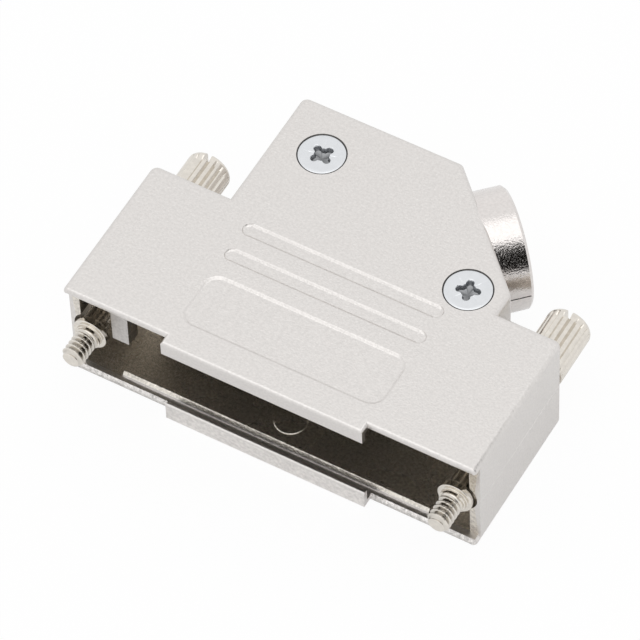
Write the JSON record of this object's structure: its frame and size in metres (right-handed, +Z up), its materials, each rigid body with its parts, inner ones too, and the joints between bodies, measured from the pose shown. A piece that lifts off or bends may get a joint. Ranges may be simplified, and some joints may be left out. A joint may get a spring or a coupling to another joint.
{
  "type": "d-sub hood",
  "caption": "Metal D-sub connector hood in two cast halves, with a cable collar at 45 degrees, captive thumbscrews, countersunk case screws and a cable clamp inside.",
  "frame": {"origin": "midway between the two jackscrew axes, in the plane of the shells' front edges and at the parting plane of the two halves", "axes": "+X along the row of the two jackscrews, to the side where the cable leaves; +Y from the mating face into the hood; +Z up through the shell with the finger slots"},
  "size_m": [0.0528, 0.043, 0.0146],
  "materials": {
    "shell_plating": "satin nickel plate over a cast, finely textured surface",
    "case_screw_zinc": "bright bluish zinc plate",
    "thumbscrew_nickel": "turned and nickel plated",
    "clamp_steel": "pressed steel, zinc plated"
  },
  "bodies": {
    "housing": {"upper_shell": "shell_plating", "lower_shell": "shell_plating", "case_screw_rear": "case_screw_zinc", "case_screw_side": "case_screw_zinc", "cable_clamp": "clamp_steel", "clamp_screw_rear": "clamp_steel", "clamp_screw_front": "clamp_steel"},
    "left_thumbscrew": {"thumbscrew_left": "thumbscrew_nickel"},
    "right_thumbscrew": {"thumbscrew_right": "thumbscrew_nickel"}
  },
  "joints": [
    {"name": "left_thumbscrew_turn", "type": "hinge", "parent": "housing", "child": "left_thumbscrew", "pos_m": [-0.02352, 0, 0], "axis": [0, -1, 0], "continuous": true},
    {"name": "right_thumbscrew_turn", "type": "hinge", "parent": "housing", "child": "right_thumbscrew", "pos_m": [0.02352, 0, 0], "axis": [0, -1, 0], "continuous": true}
  ]
}
